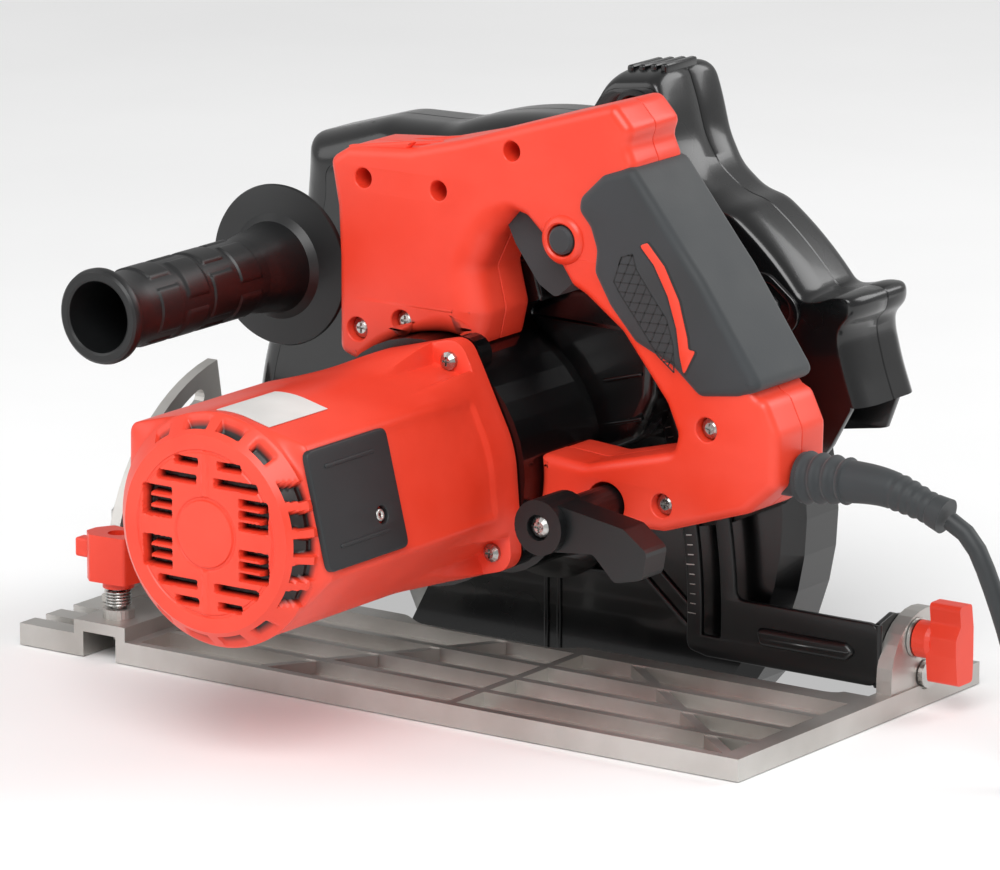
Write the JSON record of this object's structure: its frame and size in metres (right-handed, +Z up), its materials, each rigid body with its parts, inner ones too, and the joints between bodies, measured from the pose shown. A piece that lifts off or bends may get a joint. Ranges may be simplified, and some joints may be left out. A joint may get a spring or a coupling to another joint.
{
  "type": "circular saw",
  "caption": "Hand-held circular saw with D handle, side handle, sprung lower blade guard, cast sole plate with bevel and depth adjustment, and a mains lead.",
  "frame": {"origin": "sole plate's underside, under the spindle's axis and on the plate's long middle line", "axes": "+X the cutting direction, +Y the motor side, +Z up"},
  "size_m": [0.612, 0.277, 0.2915],
  "materials": {
    "cast_aluminium": "cast, lightly blasted",
    "black_steel": "black coated sheet",
    "black_shell": "cast, glossy black paint",
    "red_shell": "satin moulded plastic",
    "grey_rubber": "matt soft grip",
    "black_nylon": "moulded nylon",
    "bright_steel": "zinc plated",
    "copper": "copper windings and segments",
    "carbon": "pressed carbon"
  },
  "bodies": {
    "base": {"sole_plate": "cast_aluminium", "front_quadrant": "cast_aluminium", "fence_spring": "black_steel"},
    "fence_clamp": {"fence_knob": "red_shell", "fence_bolt": "bright_steel"},
    "bevel_carriage": {"rear_bracket": "black_steel", "front_bracket": "black_steel", "depth_pin": "bright_steel", "bevel_pin": "bright_steel", "front_bevel_bolt": "bright_steel", "bevel_bolt": "bright_steel", "bevel_washer": "bright_steel"},
    "bevel_knob": {"rear_bevel_knob": "red_shell"},
    "saw_body": {"upper_guard": "black_shell", "upper_guard_cover": "black_shell", "gear_case": "black_shell", "spindle_bearing": "bright_steel", "spindle_rear_bearing": "bright_steel", "bearing_plate": "cast_aluminium", "armature_front_bearing": "bright_steel", "armature_rear_bearing": "bright_steel", "stator": "black_steel", "brush_holder_front": "black_nylon", "brush_holder_rear": "black_nylon", "carbon_brush_front": "carbon", "carbon_brush_rear": "carbon", "motor_housing": "red_shell", "brush_cover": "black_nylon", "brush_cover_screw": "bright_steel", "flange_screw_upper": "bright_steel", "flange_screw_lower": "bright_steel", "handle_shell_left": "red_shell", "handle_shell_right": "red_shell", "handle_screw_1": "bright_steel", "handle_screw_2": "bright_steel", "handle_screw_3": "bright_steel", "handle_screw_4": "bright_steel", "grip_cover": "grey_rubber", "switch": "black_nylon", "depth_bolt": "bright_steel", "side_handle": "black_nylon", "strain_relief": "grey_rubber", "cord": "grey_rubber", "cord_coil": "grey_rubber", "mains_plug": "black_nylon"},
    "lower_guard": {"lower_guard": "black_shell"},
    "armature": {"armature_shaft": "bright_steel", "armature_core": "copper", "commutator": "copper", "cooling_fan": "black_nylon"},
    "spindle": {"spindle": "bright_steel", "driven_gear": "bright_steel", "inner_flange": "bright_steel", "outer_flange": "bright_steel", "blade_bolt": "bright_steel", "saw_blade": "bright_steel"},
    "trigger": {"trigger": "grey_rubber"},
    "lock_off": {"lock_off_button": "grey_rubber"},
    "depth_lever": {"depth_lever": "black_nylon", "lever_screw": "bright_steel"}
  },
  "joints": [
    {"name": "fence_clamp_turn", "type": "hinge", "parent": "base", "child": "fence_clamp", "pos_m": [0.14, 0.074, 0.03], "axis": [0, 0, 1], "range_deg": [0, 270]},
    {"name": "bevel", "type": "hinge", "parent": "base", "child": "bevel_carriage", "pos_m": [0, -0.047, 0.013], "axis": [1, 0, 0], "range_deg": [0, 45]},
    {"name": "bevel_knob_turn", "type": "hinge", "parent": "bevel_carriage", "child": "bevel_knob", "pos_m": [-0.178, -0.04102, 0.02891], "axis": [1, 0, 0], "range_deg": [0, 270]},
    {"name": "depth", "type": "hinge", "parent": "bevel_carriage", "child": "saw_body", "pos_m": [0.155, -0.047, 0.028], "axis": [0, -1, 0], "range_deg": [-8, 10]},
    {"name": "guard_swing", "type": "hinge", "parent": "saw_body", "child": "lower_guard", "pos_m": [0, -0.047, 0.069], "axis": [0, 1, 0], "range_deg": [0, 115], "stiffness_Nm_per_rad": 0.12, "springref_deg": -68.75},
    {"name": "armature_spin", "type": "hinge", "parent": "saw_body", "child": "armature", "pos_m": [0.0065, 0.08, 0.09314], "axis": [0, 1, 0], "continuous": true},
    {"name": "spindle_spin", "type": "hinge", "parent": "saw_body", "child": "spindle", "pos_m": [0, -0.02, 0.069], "axis": [0, 1, 0], "continuous": true},
    {"name": "trigger_pull", "type": "hinge", "parent": "saw_body", "child": "trigger", "pos_m": [-0.031, 0.022, 0.199], "axis": [0, 1, 0], "range_deg": [0, 9], "stiffness_Nm_per_rad": 0.4, "springref_deg": -11.46},
    {"name": "lock_off_push", "type": "slide", "parent": "saw_body", "child": "lock_off", "axis": [0, -1, 0], "range_m": [0, 0.003], "stiffness_N_per_m": 300, "springref_m": -0.003},
    {"name": "depth_lever_turn", "type": "hinge", "parent": "saw_body", "child": "depth_lever", "pos_m": [-0.075, 0.066, 0.086], "axis": [0, 1, 0], "range_deg": [0, 55]}
  ],
  "couplings": [
    {"joint": "spindle_spin", "follows": "armature_spin", "ratio": -0.21212}
  ]
}
